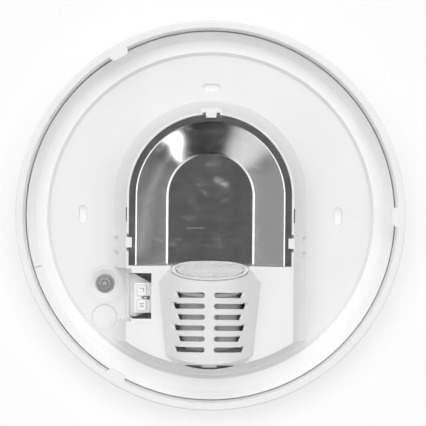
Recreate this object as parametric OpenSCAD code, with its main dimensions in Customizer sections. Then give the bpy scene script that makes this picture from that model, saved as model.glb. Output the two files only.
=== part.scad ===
// Ceiling detector base: a round dish with a turning bayonet ring, a raised
// electronics housing, a polished arch-shaped heat shield sunk into it, and a
// vented hood over an inclined lamp socket. The back face lies on z = 0, the
// front looks along +Z, and the arch points along +Y.

/* [Body] */
// Outside diameter of the bayonet ring
body_d = 275; // [272:1:278]
// Height of the ring's front edge above the back face
rim_h = 24; // [22:1:26]
// Radial width of the ring's front band
rim_w = 5.6; // [5.2:0.1:6]
// Thickness of the flat mounting plate
plate_t = 3; // [2.5:0.5:3.5]
// Radius at which the plate steps up to the outer shelf
plate_r = 115; // [114:0.5:115.5]
// Clearance between the ring's bore and the base
ring_gap = 0.7; // [0.5:0.1:0.9]
// How far the ring turns between locked and open, in degrees
ring_turn = 15; // [10:1:18]

/* [Mounting] */
// Distance of each screw slot from the centre
slot_r = 91.5; // [90:0.5:93]
// Width of a screw slot
slot_w = 5.2; // [4.5:0.1:5.5]
// End-to-end length of a screw slot
slot_l = 12.5; // [10:0.5:14]
// Outside diameter of the cable that the grommet guides
cable_d = 6; // [5:0.5:7]

/* [Housing] */
// Height of the housing's flat top above the back face
deck_z = 30; // [29:0.5:31]
// Half width of the housing where it meets the plate
foot_half = 68.7; // [68:0.1:69]
// Half width of the housing's flat top
deck_half = 58.4; // [58:0.1:58.6]
// Wall thickness of the mouldings
wall = 2; // [1.8:0.1:2.2]

/* [Heat shield] */
// Radius of the shield's flange
shield_r = 56.8; // [56.5:0.1:57]
// Width of the shield's flange
flange_w = 5; // [4.5:0.1:5.5]
// Radius of the shield's sunken floor
floor_r = 30.4; // [29:0.2:32]
// Height of the floor's upper face above the back face
floor_z = 15.5; // [14.5:0.5:15.5]
// Thickness of the shield's sheet
sheet_t = 0.8; // [0.6:0.1:1]

/* [Socket] */
// Angle between the socket's axis and the plate, in degrees
tilt = 12; // [11:0.5:13]
// Outside radius of the hood's mouth
mouth_r = 28.5; // [28:0.1:28.8]
// Bore radius of the threaded lamp sleeve
sleeve_r = 13.2; // [13:0.1:13.4]
// Number of rows of vent slots
vent_rows = 6; // [4:1:6]

/* [Hidden] */
$fn = 96;
eps = 0.01;

// Ring and base
ring_or = body_d / 2;
ring_ir = ring_or - rim_w;
base_r = ring_ir - ring_gap;
shelf_z = plate_t + 2.5;
shelf_t = 3;
ring_foot_z = 0.6;
key_z = [2.5, 4.5];       // the base's running flange, bottom and top
key_r = ring_ir + 1.7;    // its outside radius
key_play = 0.3;
ring_void_r = [ring_ir + 1.9, ring_ir + 3.5];
lug_angles = [0, 120, 240];
lug_w = 13.8;
lug_in = 4.3;
lug_t = 2.6;
stop_w = 3;               // angular width of a stop, in degrees
stop_play = 0.3;          // angular play at a stop
stop_at = 20;             // angle of each base stop beyond its lug
seal_ir = 124.5;
seal_seam = 197;
seal_rise = 4;
seal_edge = 0.2;          // thickness left at the seal's inner edge

// Housing
arch_y = 13.7;            // centre of the arch's round top
foot_arc = 112.5;         // radius that the housing's foot follows at its lower end
deck_arc = 105.9;         // the same on its flat top
shield_end = -35.2;       // lower end of the sunken shield
step_y = -35.5;           // straight edge of the deck beside the shield's end
shield_z = deck_z - 1;    // upper face of the shield's flange
ledge_z = shield_z - sheet_t;
slope_r = shield_r - flange_w;
clip_y = -19.2;
clip_w = 7;
clip_reach = 2;
foot_notches = [-16.6, -27.2];
boss_r = 3.4;
pilot_r = 1.4;
screw_r = 1.35;
bosses = [[57, 4], [-57, 4], [0, 70.5], [36, -94], [-47, -83]];

// Cable entry and knock-out
entry = [-75.4, -49.5];
knockout = [-75.4, -73.7];
knockout_r = 9.3;
funnel_r = 14.1;
grommet_r = 7;

// Terminal block
term_x = [-53, -38];
term_y = [-68.6, -47.6];
term_z = [plate_t + 3, 24.5];
term_mid = (term_y[0] + term_y[1]) / 2;
button_x = [-50.8, -44.8];
button_l = 7.4;
button_travel = 1.2;
button_gap = 0.15;
pole_pitch = 10.4;
shelf = [-57.1, 10];      // outer edge and top of the wires' lead-in shelf
cheek_z = 17;
window_x = [-62, -40.8];
window_y = [-72.6, -40.6];

// Socket, measured along its axis from the mouth's plane
mouth = [0, -38.5, 38];
hood_end_y = -96;
hood_foot = [[35.6, -46.5], [30.7, -97.2], [23.9, -103.3], [17.8, -104.7]];
hood_end_r = 27;
collar_r = mouth_r - 2;
cap_r = 23;
neck_r = 20.3;
shoulder = [-12, -9.5];
body_r = 22.5;
body_end = -51;
bracket_foot = [-90, -84];
sleeve_span = [-32, -10.5];
tag_x = 15;               // side contact's wire passage
vent_h = 3.6;
vent_first = -9.5;
vent_pitch = 7.73;
vent_rib = 3.1;
vent_lean = 4;            // slant of the slots' walls
vent_bevel = 2.7;         // reach of the bevel past each slot's outer end

// Electronics
board_x = [38, 61];
board_y = [-86, -42];
board_z = 7;
board_t = 1.6;
board_holes = [[41, -45], [58, -83]];

// ---------- helpers ----------

// Places children on the socket's axis, with the mouth at 0 and +Z along the axis.
module on_axis(t = 0) {
    translate(mouth) rotate([tilt - 90, 0, 0]) translate([0, 0, t]) children();
}

// A tube along Z from z0 to z1.
module tube(r_out, r_in, z0, z1) {
    translate([0, 0, z0]) difference() {
        cylinder(r = r_out, h = z1 - z0);
        translate([0, 0, -1]) cylinder(r = r_in, h = z1 - z0 + 2);
    }
}

// A box from its two corners.
module box(lo, hi) {
    translate(lo) cube(hi - lo);
}

// Arch outline: a half circle of radius r over straight sides down to y0.
module arch(r, y0, segments = 64) {
    difference() {
        translate([0, arch_y]) circle(r = r, $fn = segments);
        translate([-2 * r, arch_y - 2 * r]) square([4 * r, 2 * r]);
    }
    translate([-r, y0]) square([2 * r, arch_y - y0]);
}

// Outline of the housing: an arch whose lower end follows a circle about the centre.
module housing_outline(half, arc) {
    intersection() {
        circle(r = arc, $fn = 128);
        arch(half, -120);
    }
}

// Sloping block between two housing outlines.
module housing_block(half0, arc0, z0, half1, arc1, z1) {
    hull() {
        translate([0, 0, z0]) linear_extrude(eps) housing_outline(half0, arc0);
        translate([0, 0, z1 - eps]) linear_extrude(eps) housing_outline(half1, arc1);
    }
}

// Rounded slot along X, centred on the origin.
module slot(length, width, height) {
    for (side = [-1, 1])
        translate([side * (length - width) / 2, 0, 0]) cylinder(d = width, h = height, $fn = 32);
    translate([-(length - width) / 2, -width / 2, 0]) cube([length - width, width, height]);
}

// Pan-head screw that points along +Z, with its head's underside at 0.
module screw(length, head_r = 2.8, head_h = 1.4, r = screw_r) {
    difference() {
        union() {
            translate([0, 0, -head_h]) cylinder(r = head_r, h = head_h, $fn = 32);
            cylinder(r = r, h = length - 1.5, $fn = 32);
            translate([0, 0, length - 1.5]) cylinder(r1 = r, r2 = 0.4, h = 1.5, $fn = 32);
        }
        for (turn = [0, 90])
            rotate(turn) translate([-1.6, -0.35, -head_h - 1]) cube([3.2, 0.7, 1.8]);
    }
}

// Point at share u of the curved stretch from p1 to p2, with neighbours p0 and p3.
function spline(p0, p1, p2, p3, u) = 0.5 * (
    2 * p1 + (p2 - p0) * u + (2 * p0 - 5 * p1 + 4 * p2 - p3) * u * u
    + (3 * p1 - p0 - 3 * p2 + p3) * u * u * u);

// Smooth line through the points, with n steps between neighbours.
function smooth_path(p, n = 4) = let (last = len(p) - 1) [
    for (i = [0 : last - 1], k = [0 : n - 1])
        spline(p[max(i - 1, 0)], p[i], p[i + 1], p[min(i + 2, last)], k / n),
    p[last]
];

function unit(v) = v / norm(v);

// Ring of points of radius r round point i of a path.
function ring_at(p, i, r, sides) = let (
    ahead = unit(p[min(i + 1, len(p) - 1)] - p[max(i - 1, 0)]),
    side = unit(cross(ahead, abs(ahead[2]) > 0.9 ? [1, 0, 0] : [0, 0, 1])),
    up = cross(side, ahead)
) [for (k = [0 : sides - 1]) p[i] + r * (cos(360 * k / sides) * side + sin(360 * k / sides) * up)];

// Round wire of diameter d along a path.
module wire(route, d, sides = 8) {
    p = smooth_path(route);
    n = len(p);
    points = [for (i = [0 : n - 1]) each ring_at(p, i, d / 2, sides)];
    walls = [
        for (i = [0 : n - 2], k = [0 : sides - 1])
            [i * sides + k, i * sides + (k + 1) % sides,
             (i + 1) * sides + (k + 1) % sides, (i + 1) * sides + k]
    ];
    caps = [
        [for (k = [sides - 1 : -1 : 0]) k],
        [for (k = [0 : sides - 1]) (n - 1) * sides + k]
    ];
    polyhedron(points, concat(walls, caps), convexity = 6);
}

// ---------- base, ring and seal ----------

module base_profile() {
    polygon([
        [0, 0], [plate_r + 3, 0], [plate_r + 3, shelf_z - shelf_t], [key_r, key_z[0]],
        [key_r, key_z[1]], [base_r, key_z[1]], [base_r, shelf_z],
        [plate_r + 2, shelf_z], [plate_r, shelf_z - 2.2], [plate_r, plate_t], [0, plate_t]
    ]);
}

module screw_slots() {
    for (angle = [0, 90, 180])
        rotate(angle) translate([slot_r, 0, -1]) rotate(90) slot(slot_l, slot_w, plate_t + 2);
}

module base_plate() color("whitesmoke") {
    difference() {
        union() {
            rotate_extrude($fn = 180) base_profile();
            for (a = lug_angles) base_stop(a + stop_at);
            translate([entry[0], entry[1], 0]) tube(funnel_r, funnel_r - 1.4, plate_t - 1, plate_t + 0.6);
            translate([entry[0], entry[1], 0]) tube(funnel_r, grommet_r, 0, plate_t - 0.5);
            for (p = board_holes)
                translate([p[0], p[1], plate_t - 1]) cylinder(r = 3, h = board_z - plate_t + 1, $fn = 32);
            for (x = [-49, -42])
                translate([x, term_mid - 10, plate_t - 1]) cube([2, 20, term_z[0] - plate_t + 1]);
        }
        screw_slots();
        translate([entry[0], entry[1], -1]) cylinder(r = grommet_r, h = plate_t + 4);
        translate([entry[0], entry[1], plate_t - 2])
            cylinder(r1 = grommet_r, r2 = funnel_r - 2.4, h = 2.6 + eps);
        translate([knockout[0], knockout[1], 0])
            tube(knockout_r + 0.1, knockout_r - 0.9, plate_t - 0.3, plate_t + 1);
        translate([knockout[0], knockout[1], 0]) tube(knockout_r, knockout_r - 0.8, -1, 1.7);
        for (p = board_holes)
            translate([p[0], p[1], 1]) cylinder(r = pilot_r, h = board_z, $fn = 32);
        for (p = bosses) {
            translate([p[0], p[1], -1]) cylinder(r = screw_r + 0.25, h = plate_t + 2, $fn = 32);
            translate([p[0], p[1], -1]) cylinder(r = 3.1, h = 2.6, $fn = 32);
        }
    }
}

module wedge_ring(r_in, r_out, z0, z1, angle, width) {
    rotate(angle - width / 2)
        translate([0, 0, z0])
            rotate_extrude(angle = width, $fn = 180)
                translate([r_in, 0]) square([r_out - r_in, z1 - z0]);
}

module base_stop(angle) {
    wedge_ring(key_r - 1, ring_void_r[1] - 0.4, key_z[0], key_z[1], angle, stop_w);
}

module ring_profile() {
    r_edge = 1.6;
    polygon(concat(
        [[ring_ir, ring_foot_z], [ring_ir, key_z[0] - key_play], [ring_void_r[1], key_z[0] - key_play],
         [ring_void_r[1], rim_h - 2], [ring_void_r[0], rim_h - 2], [ring_void_r[0], key_z[1] + key_play],
         [ring_ir, key_z[1] + key_play], [ring_ir, rim_h - 0.5], [ring_ir + 0.5, rim_h]],
        [for (a = [90 : -15 : 0]) [ring_or - r_edge + r_edge * cos(a), rim_h - r_edge + r_edge * sin(a)]],
        [[ring_or, 3], [ring_or - 1, ring_foot_z]]
    ));
}

module lug() {
    difference() {
        intersection() {
            translate([ring_ir - lug_in, -lug_w / 2, rim_h - lug_t]) cube([lug_in + 1, lug_w, lug_t]);
            tube(ring_ir + 0.8, ring_ir - lug_in, 0, rim_h);
        }
        for (side = [0, 1]) mirror([0, side, 0])
            translate([ring_ir - lug_in - 1, lug_w / 2 - 2.4, rim_h - lug_t - 1])
                rotate(32) cube([6, 6, lug_t + 2]);
    }
}

module bayonet_ring() color("white") {
    rotate_extrude($fn = 180) ring_profile();
    for (a = lug_angles) {
        rotate(a) lug();
        for (side = [stop_w + stop_play, -stop_w - stop_play - ring_turn])
            wedge_ring(ring_void_r[0] + 0.4, ring_void_r[1] + 0.5, key_z[0] - key_play - 0.2,
                       key_z[1] + key_play + 0.6, a + stop_at + side, stop_w);
    }
}

module seal_profile() {
    span = base_r - seal_ir;
    polygon(concat(
        [[base_r, shelf_z], [base_r, shelf_z + seal_rise], [base_r - 0.8, shelf_z + seal_rise]],
        [for (a = [10 : 16 : 90])
            [base_r - 0.8 - (span - 1.6) * sin(a),
             shelf_z + seal_edge + (seal_rise - seal_edge) * (1 - sin(a))]],
        [[seal_ir, shelf_z + seal_edge], [seal_ir, shelf_z]]
    ));
}

module cover_seal() color("gainsboro") {
    difference() {
        rotate_extrude($fn = 180) seal_profile();
        rotate(seal_seam) translate([seal_ir - 1, -0.25, shelf_z - 1]) cube([10, 0.5, seal_rise + 2]);
    }
}

// ---------- raised housing ----------

module housing_shell() {
    difference() {
        housing_block(foot_half, foot_arc, plate_t, deck_half, deck_arc, deck_z);
        housing_block(foot_half - wall, foot_arc - wall, plate_t - 1, deck_half - wall - 0.4,
                      deck_arc - wall, deck_z - wall);
    }
}

// Space of the grommet, the knock-out and the cable, left open beside the terminal.
module side_notch() {
    translate([entry[0], entry[1], 0]) cylinder(r = funnel_r + 0.6, h = 60);
    translate([knockout[0], knockout[1], 0]) cylinder(r = knockout_r + 2, h = 60);
    translate([0, -37.5, 0]) rotate([90, 0, 0])
        linear_extrude(37) polygon([[-61, 0], [-54.4, deck_z + 1], [-90, deck_z + 1], [-90, 0]]);
}

// Wall that closes the housing along the notch.
module notch_wall() {
    intersection() {
        housing_block(foot_half, foot_arc, plate_t, deck_half, deck_arc, deck_z);
        difference() {
            union() {
                translate([entry[0], entry[1], 0]) cylinder(r = funnel_r + 0.6 + wall, h = 60);
                translate([knockout[0], knockout[1], 0]) cylinder(r = knockout_r + 2 + wall, h = 60);
                translate([0, -35.5, 0]) rotate([90, 0, 0])
                    linear_extrude(41) polygon([[-59, 0], [-52.4, deck_z + 1], [-90, deck_z + 1], [-90, 0]]);
            }
            side_notch();
        }
    }
}

// Wall below the deck's straight edge, from the plate up to the deck.
module step_wall() {
    intersection() {
        housing_block(foot_half - 1, foot_arc - 1, plate_t, deck_half - 0.5, deck_arc - 1, deck_z);
        box([-80, step_y - wall, plate_t], [80, step_y, deck_z]);
    }
}

// Walls behind the notches in the side walls' foot.
module foot_pockets() {
    intersection() {
        housing_block(foot_half, foot_arc, plate_t, deck_half, deck_arc, deck_z);
        for (side = [0, 1], y = foot_notches) mirror([side, 0, 0])
            box([foot_half - 5, y - 3.4, plate_t], [foot_half, y + 3.4, plate_t + 10]);
    }
}

module ledge() {
    translate([0, 0, ledge_z - 2.2]) linear_extrude(2.2) difference() {
        arch(deck_half - 0.9, step_y + 0.3, 96);
        arch(slope_r + 0.9, -60, 96);
    }
}

module clip(reach, width) {
    translate([-reach, -width / 2, shield_z + 0.15]) cube([reach + 2.2, width, 1.5]);
    translate([1.0, -width / 2, deck_z - 6]) cube([1.2, width, 6.6]);
}

module clips() {
    for (side = [0, 1]) mirror([side, 0, 0])
        translate([shield_r, clip_y, 0]) clip(clip_reach, clip_w);
    translate([0, arch_y + shield_r, 0]) rotate(90) clip(clip_reach, clip_w + 0.2);
}

module clip_slits() {
    for (side = [0, 1], end = [0, 1]) mirror([side, 0, 0])
        translate([shield_r, clip_y, 0]) mirror([0, end, 0]) clip_slit(clip_w);
    for (end = [0, 1])
        translate([0, arch_y + shield_r, 0]) rotate(90) mirror([0, end, 0]) clip_slit(clip_w + 0.2);
}

// Gap beside a clip of the given width, which lets it bend.
module clip_slit(width) {
    box([-0.4, width / 2 + 0.2, deck_z - 4], [1.5, width / 2 + 2.5, deck_z + 2]);
}

// Block round the top clip, level with the deck.
module clip_block() {
    box([-7.7, arch_y + shield_r - 2, deck_z - 7], [7.7, arch_y + shield_r + 4.4, deck_z]);
}

module deck_openings() {
    // window over the terminal block
    box([window_x[0], window_y[0], 10], [window_x[1], window_y[1], deck_z + 5]);
    // the hood's own opening
    translate([0, 0, deck_z - 10]) linear_extrude(20)
        polygon([[-30, -39], [30, -39], [30, -50], [27.6, -93], [-27.6, -93], [-30, -50]]);
    on_axis(-14) cylinder(r = mouth_r + 0.3, h = 30);
    // opening in the deck's lower edge, under the hood's end
    intersection() {
        translate([0, -64.5, plate_t + 1]) cylinder(r = 44.2, h = deck_z);
        box([-40, -115, plate_t + 1], [40, -101, deck_z + 5]);
    }
    // notches in the side walls' foot, below the clips
    for (side = [0, 1], y = foot_notches) mirror([side, 0, 0])
        box([foot_half - 3, y - 1.6, plate_t - 1], [foot_half + 2, y + 1.6, plate_t + 8]);
    // shallow groove below the window, and the release slits beside the shield
    box([-51.7, -76, deck_z - 0.6], [-41.2, -75.1, deck_z + 1]);
    for (side = [0, 1]) mirror([side, 0, 0])
        box([deck_half - 0.1, -4.8, deck_z - 6], [deck_half + 0.9, 5.2, deck_z + 1]);
}

module upper_housing() color("white") {
    difference() {
        union() {
            difference() {
                union() {
                    housing_shell();
                    step_wall();
                    clip_block();
                    foot_pockets();
                }
                side_notch();
            }
            notch_wall();
        }
        // seat for the shield's flange, and the well for its sunken floor
        translate([0, 0, ledge_z]) linear_extrude(10) arch(shield_r + 0.3, step_y, 96);
        translate([0, 0, ledge_z - 5]) linear_extrude(10) arch(slope_r + 0.9, step_y, 96);
        deck_openings();
        clip_slits();
    }
    difference() {
        union() {
            ledge();
            intersection() {
                for (p = bosses)
                    translate([p[0], p[1], plate_t]) cylinder(r = boss_r, h = deck_z - wall, $fn = 48);
                housing_block(foot_half - 1, foot_arc - 1, plate_t, deck_half - 1, deck_arc - 1, deck_z - 1);
                translate([0, 0, plate_t]) linear_extrude(30) difference() {
                    circle(r = 120);
                    arch(slope_r + 0.9, shield_end, 96);
                }
            }
        }
        translate([0, 0, ledge_z]) linear_extrude(10) arch(shield_r + 0.3, step_y, 96);
        for (p = bosses) translate([p[0], p[1], 0]) cylinder(r = pilot_r, h = 16, $fn = 32);
        clip_slits();
        on_axis(-14) cylinder(r = mouth_r + 0.3, h = 30);
    }
    clips();
}

// ---------- heat shield ----------

module heat_shield() color("silver") {
    difference() {
        hull() {
            translate([0, 0, floor_z - sheet_t]) linear_extrude(eps) arch(floor_r - 0.3, shield_end);
            translate([0, 0, shield_z - eps]) linear_extrude(eps) arch(slope_r + 0.5, shield_end);
        }
        hull() {
            translate([0, 0, floor_z]) linear_extrude(eps) arch(floor_r, shield_end - 1);
            translate([0, 0, shield_z + 1]) linear_extrude(eps) arch(slope_r + 0.7, shield_end - 1);
        }
        // gap in the floor's end, round the foot of the socket's mouth
        translate([0, 0, floor_z - sheet_t - 1]) linear_extrude(sheet_t + 2)
            polygon([for (a = [0 : 7.5 : 180]) [23.8 * cos(a), mouth[1] + 1.7 + 5.5 * sin(a)]]);
    }
    translate([0, 0, ledge_z]) linear_extrude(sheet_t) difference() {
        arch(shield_r, shield_end);
        arch(slope_r - 0.7, shield_end - 1);
    }
}

// ---------- hood and socket ----------

module hood_block(r_mouth, r_end, inset, z0) {
    intersection() {
        hull() {
            on_axis(-eps) cylinder(r = r_mouth, h = eps, $fn = 64);
            on_axis((hood_end_y + inset - mouth[1]) / cos(tilt)) cylinder(r = r_end, h = eps, $fn = 64);
            translate([0, 0, deck_z]) linear_extrude(eps) polygon([
                for (p = hood_foot) [p[0] - inset, p[1] + (p[1] < mouth[1] - 20 ? inset : 0)],
                for (i = [3 : -1 : 0]) [-hood_foot[i][0] + inset,
                                         hood_foot[i][1] + (i > 0 ? inset : 0)]
            ]);
        }
        translate([-100, -200, z0]) cube([200, 300, 100]);
    }
}

// Half width of the hood's foot at height y of the front view.
function foot_x(y) = let (a = hood_foot[0], b = hood_foot[1])
    a[0] + (b[0] - a[0]) * (y - a[1]) / (b[1] - a[1]);

// Height of the hood's outside over its circle's centre, at x: the circle, then the line to the foot.
function skin(x, r, foot) = let (a = atan2(foot[1], foot[0]) + acos(r / norm(foot)))
    x < r * cos(a) ? sqrt(r * r - x * x) : r * sin(a) - (x - r * cos(a)) / tan(a);

// One pair of vent slots per row, cut nearly straight down from the front.
module vents() {
    for (row = [0 : vent_rows - 1], side = [0, 1]) {
        along = vent_first - vent_pitch * row;
        reach = (row % 2 == 0 ? 21.6 : 24.3) - 0.28 * row;
        crown = mouth + [0, along * cos(tilt) - mouth_r * sin(tilt), along * sin(tilt) + mouth_r * cos(tilt)];
        mirror([side, 0, 0]) translate(crown) rotate([-vent_lean, 0, 0]) translate([0, 0, -22]) {
            translate([vent_rib + vent_h / 2, 0, 0]) cylinder(d = vent_h, h = 32, $fn = 24);
            linear_extrude(32) polygon([
                [vent_rib + vent_h / 2, -vent_h / 2], [reach - 0.7, -vent_h / 2],
                [reach + 0.7, vent_h / 2], [vent_rib + vent_h / 2, vent_h / 2]
            ]);
        }
        // bevel beyond the slot's outer end, from near the hood's inside to its outside
        r = mouth_r - (mouth_r - hood_end_r) * along / (hood_end_y - mouth[1]);
        centre_z = crown[2] - r;
        foot = [foot_x(crown[1]), deck_z - centre_z];
        bevel = [reach + 0.2, reach + vent_bevel];
        low = skin(bevel[0], r - wall, foot - [wall, 0]) + 1;
        mirror([side, 0, 0]) translate([0, crown[1], centre_z]) rotate([90, 0, 0])
            linear_extrude(vent_h, center = true) polygon([
                [bevel[0] - 1.5, low], [bevel[0], low], [bevel[1], skin(bevel[1], r, foot) - 0.1],
                [bevel[1], r + 2], [bevel[0] - 1.5, r + 2]
            ]);
    }
}

module vent_hood() color("white") {
    difference() {
        union() {
            difference() {
                hood_block(mouth_r, hood_end_r, 0, deck_z);
                hood_block(mouth_r - wall, hood_end_r - wall, wall, deck_z - 1);
                on_axis(-7) cylinder(r = mouth_r - wall + 0.1, h = 20);
            }
            on_axis() tube(mouth_r - 0.3, mouth_r - 1.4, -7, 0);
            on_axis() tube(mouth_r - 0.5, neck_r + 2.7, -4.5, -2.5);
        }
        vents();
    }
    // latch tongue at the hood's lower end
    box([-5.2, -106, deck_z], [5.2, -98, deck_z + 1.2]);
}

module socket_body() color("gainsboro") {
    on_axis() difference() {
        union() {
            translate([0, 0, shoulder[1] - eps]) cylinder(r = neck_r, h = -2.8 - shoulder[1]);
            translate([0, 0, shoulder[0]]) cylinder(r = 25, h = shoulder[1] - shoulder[0]);
            translate([0, 0, body_end + 5]) cylinder(r = body_r, h = shoulder[0] - body_end - 5 + eps);
            translate([0, 0, body_end]) cylinder(r = body_r - 1, h = 5 + eps);
        }
        translate([0, 0, sleeve_span[0] - 4]) cylinder(r = sleeve_r + 1.1, h = 60);
        // seat of the side contact, and the passages of the two contacts
        box([sleeve_r - 2, -3.2, sleeve_span[0] - 7], [sleeve_r + 3.4, 3.2, sleeve_span[1] - 4]);
        translate([0, 0, body_end - 1]) cylinder(r = 2.2, h = 16, $fn = 32);
        translate([tag_x, 0, body_end - 1]) cylinder(r = 1.7, h = 16, $fn = 32);
        // joint line along the body's upper side
        box([5, -body_r - 1, body_end - 1], [6, -body_r + 1.4, shoulder[0] - 10]);
        for (side = [-1, 1]) translate([side * 11, 0, body_end - 1]) cylinder(r = pilot_r, h = 7, $fn = 24);
    }
}

module socket_sleeve() color("goldenrod") {
    on_axis() tube(sleeve_r + 1.1, sleeve_r, sleeve_span[0], sleeve_span[1]);
}

module socket_centre_contact() color("goldenrod") {
    on_axis(sleeve_span[0] - 3.9) {
        cylinder(r = 1.5, h = 3, $fn = 32);
        translate([0, 0, 3]) cylinder(r = 4.4, h = 0.8, $fn = 32);
        translate([0, 0, -8]) cylinder(r = 1.5, h = 8 + eps, $fn = 32);
    }
}

module socket_side_contact() color("goldenrod") {
    on_axis() {
        box([sleeve_r + 1.1, -2.6, sleeve_span[0] - 3], [sleeve_r + 2, 2.6, sleeve_span[1] - 5]);
        box([sleeve_r + 0.9, -2.6, sleeve_span[0] - 3.9], [sleeve_r + 2, 2.6, sleeve_span[0] - 2.9]);
    }
}

module socket_collar() color("lightgray") {
    on_axis() {
        tube(collar_r - 0.8, cap_r + 1.6, -2.4, 1.2);
        tube(collar_r, cap_r + 1.7, 0.55, 1.25);
        tube(cap_r + 1.7, neck_r + 0.2, -2.4, -1.3);
        tube(cap_r + 1.7, cap_r + 0.4, -1.4, 0.4);
        tube(neck_r + 2.4, neck_r + 0.2, shoulder[1] + 0.1, -2.3);
    }
}

module socket_cap() color("silver") {
    dish = 1.3;
    on_axis() {
        rotate_extrude() polygon(concat(
            [[0, -1.25], [cap_r, -1.25], [cap_r, 1.6], [cap_r - 1, 1.6]],
            [for (a = [0 : 9 : 45]) let (s = a / 45) [(cap_r - 1.4) * (1 - s), 1.2 - dish * sin(90 * s)]]
        ));
        tube(sleeve_r + 1.02, sleeve_r - 0.4, -7.5, -1.2);
    }
}

module socket_bracket() color("silver") {
    // angle plate that carries the socket's closed end
    difference() {
        union() {
            intersection() {
                on_axis(body_end - 1.2) box([-14, -8, 0], [14, 40, 1.1]);
                box([-20, -120, plate_t], [20, -60, 60]);
            }
            box([-13.8, bracket_foot[0], plate_t], [13.8, bracket_foot[1], plate_t + 1.2]);
        }
        on_axis(body_end - 4) {
            cylinder(r = 3.6, h = 6, $fn = 32);
            translate([tag_x, 0, 0]) cylinder(r = 2.4, h = 6, $fn = 32);
            for (side = [-1, 1]) translate([side * 11, 0, 0]) cylinder(r = screw_r + 0.1, h = 6, $fn = 24);
        }
    }
}

module bracket_screws() color("gray") {
    for (side = [-1, 1])
        on_axis(body_end - 1.25) translate([side * 11, 0, 0]) screw(6.5, 2.2, 1.2);
}

// ---------- cable entry and terminal ----------

module cable_grommet() color("dimgray") {
    translate([entry[0], entry[1], 0]) {
        rotate_extrude() polygon([
            [cable_d / 2, 0.5], [grommet_r - 0.1, 0.5], [grommet_r - 0.1, 1.3], [6.2, 1.7],
            [5.8, 1.7], [5.6, 1], [4.9, 1], [4.7, 1.8], [cable_d / 2 + 1.2, 3.9], [2.9, 5.2],
            [2.7, 4.1], [1.9, 4.1], [1.7, 5.4], [0, 5.4], [0, 3.5], [2.4, 3.5], [cable_d / 2, 2.9]
        ]);
    }
}

module pole(index) {
    translate([0, term_mid + (index - 0.5) * pole_pitch, 0]) children();
}

module terminal_block() color("whitesmoke") {
    difference() {
        union() {
            box([term_x[0], term_y[0], term_z[0]], [term_x[1], term_y[1], term_z[1]]);
            box([shelf[0], window_y[0] + 0.3, term_z[0]], [term_x[0] + 1, window_y[1] - 1.4, shelf[1]]);
            translate([0, 0, term_z[0]]) linear_extrude(cheek_z - term_z[0]) polygon([
                [term_x[0], window_y[1] - 1.4], [window_x[1] - 0.6, term_y[1] - 0.6],
                [window_x[1] - 0.6, term_y[0] + 0.6], [term_x[0], window_y[0] + 0.7]
            ]);
        }
        for (i = [0, 1]) pole(i) {
            // well of the release button, and the clamp's chamber below it
            box([button_x[0] - button_gap, -button_l / 2 - button_gap, 17],
                [button_x[1] + button_gap, button_l / 2 + button_gap, term_z[1] + 1]);
            box([-51.4, -4.4, 8], [-40, 4.4, 17.01]);
            translate([-54, 0, 12]) rotate([0, 90, 0]) cylinder(r = 1.8, h = 5, $fn = 32);
            translate([-42, 0, 12]) rotate([0, 90, 0]) cylinder(r = 1.5, h = 6, $fn = 32);
        }
        // forked test opening between the poles
        for (side = [-1, 1]) {
            y = term_mid + side * 0.7;
            box([-47.2, y - 0.35, 21], [-42.6, y + 0.35, term_z[1] + 1]);
        }
        box([-47.9, term_mid - 0.6, 21], [-46.6, term_mid + 0.6, term_z[1] + 1]);
        box([-44.3, term_mid - 1.3, 18], [-42, term_mid + 1.3, term_z[1] + 1]);
    }
}

// Release button: a cap with a tongue that presses on its clamp.
module button() {
    box([button_x[0], -button_l / 2, 19], [button_x[1], button_l / 2, term_z[1] + 1.3]);
    box([-48.4, -3, 17.2], [-46.6, 3, 19.01]);
}

// Raised bar of a letter on a button's face, from corner to corner.
module bar(lo, hi) {
    box([lo[0], lo[1], term_z[1] + 1.2], [hi[0], hi[1], term_z[1] + 1.45]);
}

module terminal_button_live() color("white") {
    pole(1) {
        button();
        bar([-49.2, 1.2], [-46.2, 1.7]);
        bar([-46.7, -0.8], [-46.2, 1.7]);
    }
}

module terminal_button_neutral() color("white") {
    pole(0) {
        button();
        for (y = [-1.2, 0.9]) bar([-49.2, y], [-46.2, y + 0.4]);
        translate([-47.7, 0.05, 0]) rotate(-32) bar([-1.6, -0.18], [1.6, 0.18]);
    }
}

module terminal_clamps() color("silver") {
    for (i = [0, 1]) pole(i) difference() {
        box([-50.9, -4, 8.3], [-40.6, 4, 15.4]);
        box([-52, -3.2, 9.1], [-40, 3.2, 14.6]);
        box([-49, -2.6, 14], [-46, 2.6, 16]);
    }
}

module terminal_springs() color("gray") {
    for (i = [0, 1]) pole(i) translate([0, 2.8, 0]) rotate([90, 0, 0]) linear_extrude(5.6)
        polygon([[-50.6, 9.4], [-42.6, 9.4], [-41.4, 10.2], [-47.3, 13.9], [-47.9, 13.3],
                 [-43.4, 10.3], [-50.6, 10.0]]);
}

// ---------- electronics ----------

module control_board() color("darkgreen") {
    difference() {
        box([board_x[0], board_y[0], board_z], [board_x[1], board_y[1], board_z + board_t]);
        for (p = board_holes) translate([p[0], p[1], 0]) cylinder(r = screw_r + 0.2, h = 30, $fn = 32);
    }
}

module sensor_module() color("silver") {
    box([40, -60, board_z + board_t], [58, -49, board_z + board_t + 4.5]);
    box([41.5, -58.5, board_z + board_t + 4.5], [56.5, -50.5, board_z + board_t + 5.3]);
}

module relay() color("royalblue") {
    box([39.5, -77.5, board_z + board_t], [49.5, -62.5, board_z + board_t + 12]);
}

module mains_capacitor() color("gold") {
    box([51, -76, board_z + board_t], [58.5, -62.5, board_z + board_t + 11]);
}

module fuse() color("brown") {
    translate([47, -81, board_z + board_t]) cylinder(r = 3.1, h = 6.5, $fn = 48);
}

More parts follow.
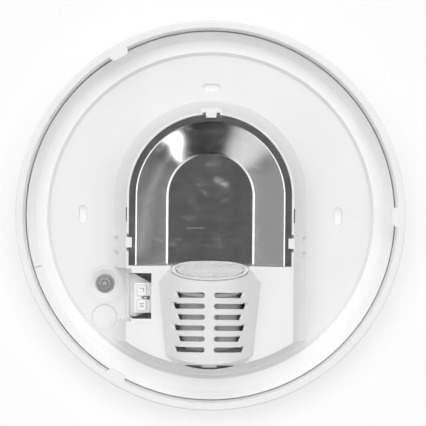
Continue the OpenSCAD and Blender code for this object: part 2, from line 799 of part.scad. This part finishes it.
module board_screws() color("gray") {
    for (p = board_holes)
        translate([p[0], p[1], board_z + board_t]) rotate([180, 0, 0]) screw(6.4, 2.5, 1.3);
}

module housing_screws() color("gray") {
    for (p = bosses) translate([p[0], p[1], 1.6]) screw(11.5);
}

module supply_wire_live() color("brown") {
    wire([[-37.6, -52.9, 12], [-35, -53.2, 11], [-32.4, -60, 6], [-31, -76, 5.4], [-22, -88.5, 5.8],
          [0, -93, 8.6], [22, -93, 8], [33, -88, 7.2], [39, -88, 10.5], [41.4, -85, 11.4],
          [41.5, -81.5, 10.4], [41.5, -81.5, 8.65]], 2);
}

module supply_wire_neutral() color("steelblue") {
    wire([[-37.6, -63.3, 12], [-36, -64.6, 10.8], [-35, -76, 7], [-26, -91.5, 5.6], [-8, -95, 5.4],
          [10, -92.5, 5.4], [24, -86, 5.6], [32, -76, 6.4], [35.5, -66, 10], [38.4, -61.6, 12.6],
          [39.2, -61.2, 11], [39.2, -61.2, 8.65]], 2);
}

module lamp_wire_live() color("black") {
    wire([[0, -84, 28.35], [0, -86.6, 27.8], [0, -89.6, 27.1], [0.8, -92, 25.2], [8, -91.8, 22],
          [20, -90, 18], [31, -85, 16], [38, -82, 17.5], [47, -80.6, 18], [52.8, -80.4, 14],
          [53.5, -80.5, 11], [53.5, -80.5, 8.65]], 1.8);
}

module lamp_wire_neutral() color("steelblue") {
    wire([[15, -75.9, 30.05], [15, -82, 28.75], [15, -88.4, 27.4], [15.8, -91.4, 25], [22, -88.6, 21.4],
          [30, -80, 18], [34, -72, 17], [36.4, -64, 17], [37.4, -52, 15], [40, -46.4, 12.6],
          [45.4, -45.4, 12], [46.5, -45.4, 10.6], [46.5, -45.4, 8.65]], 1.8);
}

base_plate();
bayonet_ring();
cover_seal();
upper_housing();
vent_hood();
heat_shield();
socket_body();
socket_sleeve();
socket_centre_contact();
socket_side_contact();
socket_collar();
socket_cap();
cable_grommet();
terminal_block();
terminal_button_live();
terminal_button_neutral();
terminal_clamps();
terminal_springs();
control_board();
sensor_module();
relay();
mains_capacitor();
fuse();
board_screws();
housing_screws();
socket_bracket();
bracket_screws();
supply_wire_live();
supply_wire_neutral();
lamp_wire_live();
lamp_wire_neutral();
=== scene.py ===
"""Ceiling detector and lamp base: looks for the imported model, seen from the front with its cover off."""
import math

import bmesh
import bpy
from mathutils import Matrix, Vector


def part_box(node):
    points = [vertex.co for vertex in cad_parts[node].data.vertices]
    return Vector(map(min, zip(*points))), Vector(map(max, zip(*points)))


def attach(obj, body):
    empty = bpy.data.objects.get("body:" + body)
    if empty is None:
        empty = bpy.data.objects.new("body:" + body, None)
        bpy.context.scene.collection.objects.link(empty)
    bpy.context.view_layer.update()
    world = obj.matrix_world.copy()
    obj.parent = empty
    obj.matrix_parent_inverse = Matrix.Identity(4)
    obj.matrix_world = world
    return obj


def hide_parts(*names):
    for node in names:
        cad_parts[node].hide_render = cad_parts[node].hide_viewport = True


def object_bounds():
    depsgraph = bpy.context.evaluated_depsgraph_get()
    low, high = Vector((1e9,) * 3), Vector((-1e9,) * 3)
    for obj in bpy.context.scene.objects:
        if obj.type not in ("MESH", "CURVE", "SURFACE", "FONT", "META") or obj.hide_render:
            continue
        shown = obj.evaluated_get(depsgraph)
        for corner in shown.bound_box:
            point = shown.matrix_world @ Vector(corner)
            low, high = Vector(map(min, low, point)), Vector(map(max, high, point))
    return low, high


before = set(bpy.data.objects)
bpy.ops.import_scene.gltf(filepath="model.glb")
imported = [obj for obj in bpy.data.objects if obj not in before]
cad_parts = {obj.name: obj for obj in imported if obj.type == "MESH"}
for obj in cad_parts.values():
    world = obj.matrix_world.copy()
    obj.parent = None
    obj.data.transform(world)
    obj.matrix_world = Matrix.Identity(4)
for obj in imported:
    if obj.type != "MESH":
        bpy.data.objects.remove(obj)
cad_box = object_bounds()
MM = 0.001

# ---------------------------------------------------------------- node graphs


class Graph:
    """Adds nodes to a node tree; a value may be a plain number or another node's output socket."""

    def __init__(self, tree):
        self.tree = tree

    def link(self, source, target):
        self.tree.links.new(source, target)

    def put(self, value, target):
        """Links a socket or sets a plain value."""
        if isinstance(value, bpy.types.NodeSocket):
            self.link(value, target)
        else:
            target.default_value = value

    def math(self, operation, *values):
        """One operation on up to three values."""
        node = self.tree.nodes.new("ShaderNodeMath")
        node.operation = operation
        for value, target in zip(values, node.inputs):
            self.put(value, target)
        return node.outputs[0]

    def chain(self, operation, first, *rest):
        """The same operation over any number of values, from left to right."""
        result = first
        for value in rest:
            result = self.math(operation, result, value)
        return result

    def remap(self, value, low, high, to_low=0.0, to_high=1.0, kind="LINEAR"):
        """Carries low..high over to to_low..to_high, and holds what lies beyond at the nearer end."""
        node = self.tree.nodes.new("ShaderNodeMapRange")
        node.interpolation_type = kind
        numbers = {"From Min": low, "From Max": high, "To Min": to_low, "To Max": to_high}
        for name, number in numbers.items():
            node.inputs[name].default_value = number
        self.link(value, node.inputs["Value"])
        return node.outputs["Result"]

    def split(self, vector):
        """The three parts of a vector."""
        node = self.tree.nodes.new("ShaderNodeSeparateXYZ")
        self.link(vector, node.inputs[0])
        return node.outputs

    def vector_math(self, operation, vector, other=(0, 0, 0)):
        """The outputs of a vector operation, which are Vector and Value."""
        node = self.tree.nodes.new("ShaderNodeVectorMath")
        node.operation = operation
        self.link(vector, node.inputs[0])
        node.inputs[1].default_value = other
        return node.outputs


class Nodes(Graph):
    """Builds one material, whose patterns lie in the object's own space."""

    def __init__(self, name):
        self.material = bpy.data.materials.new(name)
        self.material.use_nodes = True
        super().__init__(self.material.node_tree)
        self.tree.nodes.clear()
        output = self.tree.nodes.new("ShaderNodeOutputMaterial")
        self.shader = self.tree.nodes.new("ShaderNodeBsdfPrincipled")
        self.link(self.shader.outputs[0], output.inputs["Surface"])
        self.place = self.tree.nodes.new("ShaderNodeTexCoord").outputs["Object"]

    def mapped(self, kind="POINT", **inputs):
        """The place, moved, turned or scaled."""
        node = self.tree.nodes.new("ShaderNodeMapping")
        node.vector_type = kind
        for name, value in inputs.items():
            node.inputs[name.capitalize()].default_value = value
        self.link(self.place, node.inputs["Vector"])
        return node.outputs[0]

    def noise(self, size, detail=3.0, rough=0.5, stretch=(1, 1, 1), spread=0.0):
        """Noise whose features are about size metres across."""
        node = self.tree.nodes.new("ShaderNodeTexNoise")
        numbers = {"Scale": 1.0 / size, "Detail": detail, "Roughness": rough, "Distortion": spread}
        for name, number in numbers.items():
            node.inputs[name].default_value = number
        self.link(self.mapped(scale=stretch), node.inputs["Vector"])
        return node.outputs["Fac"]

    def cells(self, size):
        """Distance to the nearest of scattered points, about size metres apart."""
        node = self.tree.nodes.new("ShaderNodeTexVoronoi")
        node.inputs["Scale"].default_value = 1.0 / size
        self.link(self.place, node.inputs["Vector"])
        return node.outputs["Distance"]

    def from_line(self, centre, half, angle=0):
        """Distance, seen from the front, to a line of the given half length through centre."""
        turn = (0, 0, math.radians(angle))
        x, y = self.split(self.mapped("TEXTURE", location=(*centre, 0), rotation=turn))[:2]
        beyond = self.math("MAXIMUM", self.math("SUBTRACT", self.math("ABSOLUTE", x), half), 0.0)
        square = self.math("ADD", self.math("MULTIPLY", beyond, beyond), self.math("MULTIPLY", y, y))
        return self.math("SQRT", square)

    def radius(self):
        """Distance from the object's centre line."""
        flat = self.vector_math("MULTIPLY", self.place, (1, 1, 0))["Vector"]
        return self.vector_math("LENGTH", flat)["Value"]

    def mix(self, share, first, second):
        """Mixes two colours, each a tuple or a socket."""
        node = self.tree.nodes.new("ShaderNodeMix")
        node.data_type = "RGBA"
        self.put(share, node.inputs[0])
        for value, target in ((first, node.inputs[6]), (second, node.inputs[7])):
            self.put((*value, 1) if isinstance(value, tuple) else value, target)
        return node.outputs[2]

    def bump(self, height, depth, strength=1.0):
        """Bump of the given depth in metres; a second call stacks on the first."""
        node = self.tree.nodes.new("ShaderNodeBump")
        node.inputs["Strength"].default_value = strength
        node.inputs["Distance"].default_value = depth
        self.link(height, node.inputs["Height"])
        normal = self.shader.inputs["Normal"]
        if normal.links:
            self.link(normal.links[0].from_socket, node.inputs["Normal"])
        self.link(node.outputs[0], normal)

    def set(self, **values):
        """Sets the shader's inputs; a colour is a tuple of three or a socket."""
        names = {"color": "Base Color", "rough": "Roughness", "metal": "Metallic",
                 "specular": "Specular IOR Level",
                 "glow": "Emission Strength", "glow_color": "Emission Color"}
        for key, value in values.items():
            target = self.shader.inputs[names[key]]
            self.put((*value, 1) if isinstance(value, tuple) else value, target)


def grey(level):
    return (level, level, level)


def shaded(color, share):
    return tuple(share * part for part in color)


# ---------------------------------------------------------------- materials

OUTLINE_FADE = (0.1, 0.42)      # strength of a painted shade outline at its lower edge and at its upper edge
INK = 0.3                       # level of the grey print


def moulded(name, level, rough=0.4, rim=None, outlines=(), ink_above=None):
    """Moulded white plastic: faint tone drift, dust in places and a fine spark-eroded grain.

    rim is a radius and the lighter level beyond it: painted light that brightens the shelf near the ring.
    outlines are painted shade lines round recesses, darker towards their upper edge: centre, half length,
    angle, and inner and outer distance. Whatever stands higher than ink_above is printed grey.
    """
    n = Nodes(name)
    drift = n.remap(n.noise(30 * MM, detail=4), 0.35, 0.65)
    color = n.mix(drift, grey(level * 0.985), grey(level))
    if rim:
        radius, lit_level = rim
        # Painted light: beyond this radius the plastic is made lighter.
        color = n.mix(n.remap(n.radius(), radius, radius + 0.5 * MM), color, grey(lit_level))
    # Painted shade: a dark line round each recess, stronger towards its upper edge.
    for centre, half, angle, inner, outer in outlines:
        distance = n.from_line(centre, half, angle)
        line = n.math("COMPARE", distance, (inner + outer) / 2, (outer - inner) / 2)
        reach = inner + half * math.sin(math.radians(angle))
        fade = n.remap(n.split(n.place)["Y"], centre[1] - reach, centre[1] + reach, *OUTLINE_FADE)
        color = n.mix(n.math("MULTIPLY", line, fade), color, grey(level * 0.4))
    dust = n.remap(n.noise(1.6 * MM, detail=5, rough=0.7), 0.62, 0.8, 0.0, 0.03)
    color = n.mix(dust, color, grey(level * 0.6))
    if ink_above is not None:
        color = n.mix(n.math("GREATER_THAN", n.split(n.place)["Z"], ink_above), color, grey(INK))
    n.set(color=color, specular=0.5)
    n.set(rough=n.remap(n.noise(6 * MM, detail=4), 0.3, 0.7, rough - 0.05, rough + 0.07))
    n.bump(n.noise(0.25 * MM, detail=2), 0.008 * MM, 0.5)
    n.bump(n.noise(25 * MM, detail=2), 0.05 * MM, 0.25)
    return n.material


# Centre, half length, angle, reach and strength of each dull mark on the sheet, in mm and degrees.
SMUDGES = [
    ((7.5, 23.5), 3.6, -28, 3.6, 1.1),
    ((-10.5, -9), 6, 2, 1.0, 0.6),
    ((-12, 8), 3.5, -50, 4.5, 0.25),
    ((-46.5, -6), 17, 82, 8.0, 1.0),
    ((-39.5, 24), 12, 67, 5.0, 0.8),
    ((-30, 40.5), 6, 48, 3.2, 0.6),
]


def smudge_marks(n):
    """How dull the marks make the sheet at each place: strongest on their lines, and patchy."""
    marks = 0.0
    for centre, half, angle, reach, strength in SMUDGES:
        distance = n.from_line([part * MM for part in centre], half * MM, angle)
        marks = n.math("MAXIMUM", marks, n.remap(distance, 0, reach * MM, strength, 0.0))
    patchy = n.noise(2.6 * MM, detail=4, rough=0.6, stretch=(0.6, 1, 1), spread=0.5)
    return n.math("MULTIPLY", marks, n.remap(patchy, 0.3, 0.62, 0.55, 1.0))


def polished_sheet(name):
    """Pressed and polished sheet: cloudy polish, faint smudges, fine rolling lines and gentle waves."""
    n = Nodes(name)
    cloud = n.remap(n.noise(14 * MM, detail=5, rough=0.6), 0.35, 0.7)
    lines = n.noise(0.45 * MM, rough=0.6, stretch=(0.03, 1, 1))
    grain = n.remap(lines, 0.3, 0.7)
    scratch = n.remap(n.noise(0.7 * MM, detail=1, stretch=(0.06, 1, 1)), 0.74, 0.78)
    marks = smudge_marks(n)
    haze = n.noise(11 * MM, detail=6, rough=0.62, stretch=(0.6, 1, 1), spread=0.4)
    smear = n.math("MAXIMUM", n.remap(haze, 0.58, 0.74), marks)

    tone = n.mix(n.math("MULTIPLY", cloud, 0.4), grey(0.68), grey(0.78))
    tone = n.mix(n.math("MULTIPLY", grain, 0.35), tone, grey(0.82))
    n.set(color=n.mix(n.math("MULTIPLY", smear, 0.5), tone, grey(0.95)))
    n.set(metal=n.math("SUBTRACT", 1.0, n.math("MULTIPLY", marks, 0.2)))
    blur = n.remap(cloud, 0, 1, 0.13, 0.17)
    for part, share in ((smear, 0.07), (grain, 0.04), (scratch, 0.06)):
        blur = n.math("ADD", blur, n.math("MULTIPLY", part, share))
    n.set(rough=blur)
    n.bump(n.noise(22 * MM, detail=2), 0.25 * MM, 0.25)
    n.bump(lines, 0.003 * MM, 0.4)
    return n.material


def rubber(name, level):
    """Matt rubber with a lighter bloom in places."""
    n = Nodes(name)
    n.set(color=n.mix(n.remap(n.noise(2 * MM, detail=4), 0.35, 0.7), grey(level), grey(level * 1.25)))
    n.set(rough=n.remap(n.noise(1 * MM), 0.3, 0.7, 0.5, 0.7), specular=0.4)
    n.bump(n.noise(0.3 * MM), 0.02 * MM, 0.5)
    return n.material


def mottled(name, level):
    """Cast disc: light grey with soft mottling and small pits."""
    n = Nodes(name)
    patches = n.remap(n.noise(6 * MM, detail=4, rough=0.6), 0.35, 0.68)
    pits = n.remap(n.cells(4.5 * MM), 0.05, 0.14, 1.0, 0.0)
    tone = n.mix(patches, grey(level * 0.9), grey(level * 1.06))
    n.set(color=n.mix(n.math("MULTIPLY", pits, 0.2), tone, grey(level * 0.5)))
    n.set(rough=n.remap(patches, 0, 1, 0.5, 0.38), specular=0.5)
    n.bump(n.noise(4 * MM, rough=0.55), 0.14 * MM, 0.35)
    return n.material


def metal(name, color):
    """Drawn or stamped metal, darker and duller where it is worn."""
    n = Nodes(name)
    wear = n.remap(n.noise(3 * MM, detail=4), 0.4, 0.7)
    n.set(color=n.mix(wear, color, shaded(color, 0.8)), metal=1.0)
    n.set(rough=n.remap(wear, 0, 1, 0.3, 0.42))
    n.bump(n.noise(0.4 * MM, detail=2, stretch=(0.1, 1, 1)), 0.01 * MM, 0.4)
    return n.material


def ceramic(name, level):
    """Fired ceramic: faintly uneven in tone and slightly coarse."""
    n = Nodes(name)
    n.set(color=n.mix(n.remap(n.noise(4 * MM, detail=4), 0.4, 0.7), grey(level), grey(level * 0.94)))
    n.set(rough=0.5, specular=0.5)
    n.bump(n.noise(0.6 * MM, detail=4), 0.03 * MM, 0.5)
    return n.material


def tinted(name, color, rough=0.45):
    """Coloured moulded or coated part with slight wear."""
    n = Nodes(name)
    n.set(color=n.mix(n.remap(n.noise(2 * MM, detail=4), 0.35, 0.7), color, shaded(color, 0.8)))
    n.set(rough=n.remap(n.noise(1.2 * MM), 0.3, 0.7, rough - 0.06, rough + 0.08))
    n.bump(n.noise(0.8 * MM, detail=2), 0.01 * MM, 0.4)
    return n.material


def dress(material, *nodes):
    """Gives CAD nodes their material."""
    for name in nodes:
        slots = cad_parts[name].data.materials
        slots.clear()
        slots.append(material)


SLOT_R = 91.5 * MM                      # from the centre to the middle of a screw slot
SLOT_HALF = 3.65 * MM                   # half of a slot's straight length
SLOT_EDGE = (2.5 * MM, 3.1 * MM)        # inner and outer edge of its painted shade outline, from its middle line
KNOCKOUT = (-75.4 * MM, -73.7 * MM)
KNOCKOUT_EDGE = (8.5 * MM, 9.3 * MM)
PAINTED_LIGHT_RIM = (116.6 * MM, 0.95)          # radius beyond which the plate is lighter, and the level there: painted light
# Painted shade lines round the knock-out and the three screw slots.
painted_shade_outlines = [(KNOCKOUT, 0, 0, *KNOCKOUT_EDGE)]
for x, y, angle in ((0, SLOT_R, 0), (-SLOT_R, 0, 90), (SLOT_R, 0, 90)):
    painted_shade_outlines.append(((x, y), SLOT_HALF, angle, *SLOT_EDGE))
marks_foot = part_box("terminal_button_live")[1].z - 0.1 * MM     # the buttons' raised marks stand above it

dress(moulded("base_white", 0.83, 0.42, PAINTED_LIGHT_RIM, painted_shade_outlines), "base_plate")
dress(moulded("ring_white", 0.88), "bayonet_ring")
dress(moulded("seal_white", 0.95, 0.5), "cover_seal")
dress(moulded("housing_white", 0.86, 0.5), "upper_housing")
dress(moulded("hood_white", 0.86, 0.5), "vent_hood")
# Painted shade: the socket body is darkened to stand in for the shade under the hood, seen through its
# slots.
dress(ceramic("socket_white", 0.54), "socket_body")
dress(moulded("collar_white", 0.78, 0.35), "socket_collar")
dress(mottled("cap_grey", 0.73), "socket_cap")
dress(rubber("grommet_grey", 0.34), "cable_grommet")
dress(moulded("terminal_white", 0.88, 0.5), "terminal_block")
dress(moulded("button_white", 0.9, ink_above=marks_foot), "terminal_button_live", "terminal_button_neutral")
dress(metal("brass", (0.78, 0.6, 0.3)), "socket_sleeve", "socket_centre_contact", "socket_side_contact")
dress(metal("plated_steel", grey(0.6)), "terminal_clamps", "terminal_springs", "board_screws",
      "housing_screws", "socket_bracket", "bracket_screws", "sensor_module")
dress(tinted("board_green", (0.02, 0.16, 0.07), 0.35), "control_board")
dress(tinted("part_blue", (0.03, 0.1, 0.35)), "relay")
dress(tinted("part_yellow", (0.6, 0.42, 0.05)), "mains_capacitor")
dress(tinted("part_brown", (0.12, 0.05, 0.02)), "fuse")
dress(tinted("wire_brown", (0.2, 0.08, 0.03)), "supply_wire_live")
dress(tinted("wire_blue", (0.03, 0.12, 0.45)), "supply_wire_neutral", "lamp_wire_neutral")
dress(tinted("wire_black", grey(0.015)), "lamp_wire_live")

# ---------------------------------------------------------------- mesh tools

ALMOST_STRAIGHT = math.radians(89.5)    # half the angle of a corner that needs no arc


def rounded_profile(corners, steps=6):
    """Polyline through (x, y, radius) corners, with an arc of that radius at each inner corner."""
    points = [Vector(corners[0][:2])]
    for before, here, after in zip(corners, corners[1:], corners[2:]):
        corner, radius = Vector(here[:2]), here[2]
        back = (Vector(before[:2]) - corner).normalized()
        ahead = (Vector(after[:2]) - corner).normalized()
        half = back.angle(ahead) / 2
        if radius <= 0 or half > ALMOST_STRAIGHT:
            points.append(corner)
            continue
        centre = corner + (back + ahead).normalized() * radius / math.sin(half)
        first = corner + back * radius / math.tan(half) - centre
        last = corner + ahead * radius / math.tan(half) - centre
        turn = first.angle(last)
        for k in range(steps + 1):
            share = k / steps
            ray = first * math.sin((1 - share) * turn) + last * math.sin(share * turn)
            points.append(centre + ray / math.sin(turn))
    points.append(Vector(corners[-1][:2]))
    return points


def half_ellipse(centre_y, half_width, height, steps):
    """Points of the upper half of an ellipse about x = 0, from right to left."""
    turns = [math.pi * k / steps for k in range(steps + 1)]
    return [(half_width * math.cos(turn), centre_y + height * math.sin(turn)) for turn in turns]


def arch_ring(radius, centre_y, end_y, z, sides=10, round_steps=64):
    """Points of an arch outline from its lower right end, over the top, to its lower left end."""
    right = [Vector((radius, end_y + (centre_y - end_y) * k / sides, z)) for k in range(sides)]
    top = [Vector((x, y, z)) for x, y in half_ellipse(centre_y, radius, radius, round_steps)]
    left = [Vector((-p.x, p.y, z)) for p in reversed(right)]
    return right + top + left


def lofted(name, rings):
    """Mesh sheet through rings that have the same number of points."""
    builder = bmesh.new()
    rows = [[builder.verts.new(point) for point in ring] for ring in rings]
    for one, two in zip(rows, rows[1:]):
        for k in range(len(one) - 1):
            builder.faces.new((one[k], one[k + 1], two[k + 1], two[k]))
    bmesh.ops.remove_doubles(builder, verts=builder.verts, dist=0.002 * MM)
    bmesh.ops.dissolve_degenerate(builder, edges=builder.edges, dist=0.001 * MM)
    bmesh.ops.recalc_face_normals(builder, faces=builder.faces)
    mesh = bpy.data.meshes.new(name)
    builder.to_mesh(mesh)
    builder.free()
    return mesh


def apply_modifiers(piece):
    graph = bpy.context.evaluated_depsgraph_get()
    mesh = bpy.data.meshes.new_from_object(piece.evaluated_get(graph))
    piece.modifiers.clear()
    piece.data = mesh


def thicken(piece, thickness):
    """Turns a sheet into a closed solid that lies behind the sheet's front."""
    modifier = piece.modifiers.new("thickness", "SOLIDIFY")
    modifier.thickness = thickness
    modifier.offset = -1
    apply_modifiers(piece)


def cut_prism(piece, outline, low_z, high_z):
    """Cuts an upright prism out of a piece."""
    count = len(outline)
    ends = [tuple(reversed(range(count))), tuple(range(count, 2 * count))]
    sides = [(k, (k + 1) % count, count + (k + 1) % count, count + k) for k in range(count)]
    mesh = bpy.data.meshes.new("cutter")
    mesh.from_pydata([(x, y, z) for z in (low_z, high_z) for x, y in outline], [], ends + sides)
    cutter = bpy.data.objects.new("cutter", mesh)
    bpy.context.scene.collection.objects.link(cutter)
    modifier = piece.modifiers.new("cut", "BOOLEAN")
    modifier.operation = "DIFFERENCE"
    modifier.solver = "EXACT"
    modifier.object = cutter
    apply_modifiers(piece)
    bpy.data.objects.remove(cutter)


def smooth(mesh, angle):
    """Smooth shading that keeps edges sharper than angle degrees."""
    mesh.polygons.foreach_set("use_smooth", [True] * len(mesh.polygons))
    mesh.set_sharp_from_angle(angle=math.radians(angle))


# ---------------------------------------------------------------- pieces


def add_piece(name, mesh, material, body, *nodes):
    """Puts a mesh on a CAD body, in place of the named CAD nodes."""
    piece = bpy.data.objects.new(name, mesh)
    bpy.context.scene.collection.objects.link(piece)
    mesh.materials.append(material)
    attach(piece, body)
    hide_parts(*nodes)
    return piece


SHEET = 0.8 * MM                # thickness of the shield
FLOOR_R = 30.4 * MM             # half width of its floor
WALL_R = 51.9 * MM              # half width at the top of its wall
BOWL = 0.65 * MM                # how far the wall sags below a straight line
FLOOR_BEND = 5.2 * MM
WALL_BEND = 140 * MM
FLANGE_BEND = 3.2 * MM
GAP_HALF = 23.8 * MM            # half axes of the elliptical gap round the foot of the hood's mouth
GAP_REACH = 5.5 * MM
GAP_BELOW = 1.6 * MM            # how far the ellipse's centre lies past the shield's straight end


def heat_shield():
    """The pressed sheet: a flat floor, a sloping wall and a flange, with rounded bends between them."""
    low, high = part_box("heat_shield")
    radius, end_y = high.x, low.y
    floor_z = low.z + SHEET
    middle_r, middle_z = (FLOOR_R + WALL_R) / 2, (floor_z + high.z) / 2 - BOWL
    profile = rounded_profile([
        (0, floor_z, 0), (FLOOR_R, floor_z, FLOOR_BEND), (middle_r, middle_z, WALL_BEND),
        (WALL_R, high.z, FLANGE_BEND), (radius, high.z, 0)])
    mesh = lofted("heat_shield_sheet", [arch_ring(p.x, high.y - radius, end_y, p.y) for p in profile])
    if sum(face.normal.z for face in mesh.polygons) < 0:
        mesh.flip_normals()
    piece = add_piece("heat_shield_sheet", mesh, polished_sheet("shield_metal"), "base", "heat_shield")
    thicken(piece, SHEET)
    gap = half_ellipse(end_y - GAP_BELOW, GAP_HALF, GAP_REACH, steps=32)
    cut_prism(piece, gap, low.z - SHEET, floor_z + SHEET)
    smooth(piece.data, 40)


heat_shield()

# ---------------------------------------------------------------- floor and light

FLOOR_HALF = 4.0
FLOOR_DROP = 0.5 * MM           # how far the floor lies behind the object's back
FLOOR_TONE = 0.4
FLOOR_GLOW = 0.575


def stage_floor(z):
    """A pale floor that glows a little, so the object's shadow on it stays faint."""
    mesh = bpy.data.meshes.new("floor")
    signs = ((-1, -1), (1, -1), (1, 1), (-1, 1))
    mesh.from_pydata([(x * FLOOR_HALF, y * FLOOR_HALF, z) for x, y in signs], [], [(0, 1, 2, 3)])
    plane = bpy.data.objects.new("floor", mesh)
    bpy.context.scene.collection.objects.link(plane)
    n = Nodes("floor")
    n.set(color=grey(FLOOR_TONE), rough=0.9, specular=0.0, glow=FLOOR_GLOW, glow_color=grey(1))
    mesh.materials.append(n.material)


class Studio(Graph):
    """Surroundings whose brightness depends on direction.

    height is the sine of the elevation. across and along are the cosine and the sine of the azimuth.
    """

    def __init__(self):
        world = bpy.data.worlds.new("studio")
        bpy.context.scene.world = world
        world.use_nodes = True
        super().__init__(world.node_tree)
        self.background = self.tree.nodes["Background"]
        self.background.inputs["Color"].default_value = (1, 1, 1, 1)
        self.direction = self.tree.nodes.new("ShaderNodeTexCoord").outputs["Generated"]
        x, y, self.height = self.split(self.direction)
        over_one = 1.0001       # a little over, so that straight up divides by more than nothing
        square = self.math("SUBTRACT", over_one, self.math("MULTIPLY", self.height, self.height))
        level = self.math("SQRT", square)
        self.across = self.math("DIVIDE", x, level)
        self.along = self.math("DIVIDE", y, level)

    def ramp(self, source, low_end, high_end, first, last):
        """Goes softly from first to last while source goes from low_end to high_end."""
        return self.remap(source, low_end, high_end, first, last, kind="SMOOTHSTEP")

    def lamp(self, azimuth, elevation, inner, outer, strength):
        """Round soft lamp: full strength within inner degrees of its middle, nothing beyond outer."""
        a, e = math.radians(azimuth), math.radians(elevation)
        middle = (math.cos(e) * math.cos(a), math.cos(e) * math.sin(a), math.sin(e))
        closeness = self.vector_math("DOT_PRODUCT", self.direction, middle)["Value"]
        edge, core = math.cos(math.radians(outer)), math.cos(math.radians(inner))
        return self.ramp(closeness, edge, core, 0.0, strength)

    def shine(self, brightness):
        self.link(brightness, self.background.inputs["Strength"])


SIDES = 2.1                     # brightness of the soft band at its foot
CEILING = 2.0                   # brightness of the band higher up
ZENITH = 0.1                    # brightness straight overhead, which the flat metal shows
OVERHEAD = (0.92, 0.965)        # the heights between which the band gives way to the zenith
# Azimuth, elevation, inner and outer half angle, in degrees, and brightness of each lamp.
LAMPS = [
    (-58.2, 23.5, 3.5, 5.4, 6.0),
    (-53.5, 28.5, 2.8, 4.4, 5.0),
    (-49, 32.5, 1.5, 3, 5.0),
    (-126, 29, 3, 21, 0.85),
]


def light_studio():
    """A bright band round a dark zenith, over dim surroundings that hold a few lamps."""
    studio = Studio()
    band = studio.chain(
        "MULTIPLY",
        studio.ramp(studio.height, 0.62, 0.7, 0.0, 1.0),            # its foot
        studio.ramp(studio.height, 0.66, 0.8, SIDES, CEILING),
        studio.ramp(studio.along, -0.96, -0.84, 0.03, 1.0),         # open towards -Y
        studio.ramp(studio.along, -1.0, 1.0, 0.54, 1.44),           # stronger towards +Y
        studio.ramp(studio.height, *OVERHEAD, 1.0, 0.0))            # its top
    surroundings = studio.chain(
        "MULTIPLY",
        studio.ramp(studio.across, -0.9, 0.9, 0.38, 0.24),          # stronger towards -X
        studio.ramp(studio.along, -0.95, -0.3, 0.12, 1.0),          # weak towards -Y
        studio.ramp(studio.height, 0.6, 0.68, 1.0, 0.0))            # up to the band's foot
    zenith = studio.ramp(studio.height, *OVERHEAD, 0.0, ZENITH)
    lamps = [studio.lamp(*lamp) for lamp in LAMPS]
    studio.shine(studio.chain("ADD", band, surroundings, zenith, *lamps))


stage_floor(cad_box[0].z - FLOOR_DROP)
light_studio()
bpy.context.scene.view_settings.view_transform = "Standard"

# ---------------------------------------------------------------- camera

FRAME_WIDTH = 299.5 * MM        # width of the view at the height of the ring's front edge
DISTANCE = 1000 * MM            # from the camera to that height
OFF_CENTRE = 1.8 * MM           # how far the camera stands towards +X and towards +Y
ROLL = math.radians(0.5)
LENS = 120.0
camera_data = bpy.data.cameras.new("camera")
camera_data.sensor_width = LENS * FRAME_WIDTH / DISTANCE
camera_data.lens = LENS
camera_data.clip_end = 20
camera = bpy.data.objects.new("camera", camera_data)
camera.location = (OFF_CENTRE, OFF_CENTRE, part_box("bayonet_ring")[1].z + DISTANCE)
camera.rotation_euler = (0, 0, ROLL)
bpy.context.scene.collection.objects.link(camera)
bpy.context.scene.camera = camera
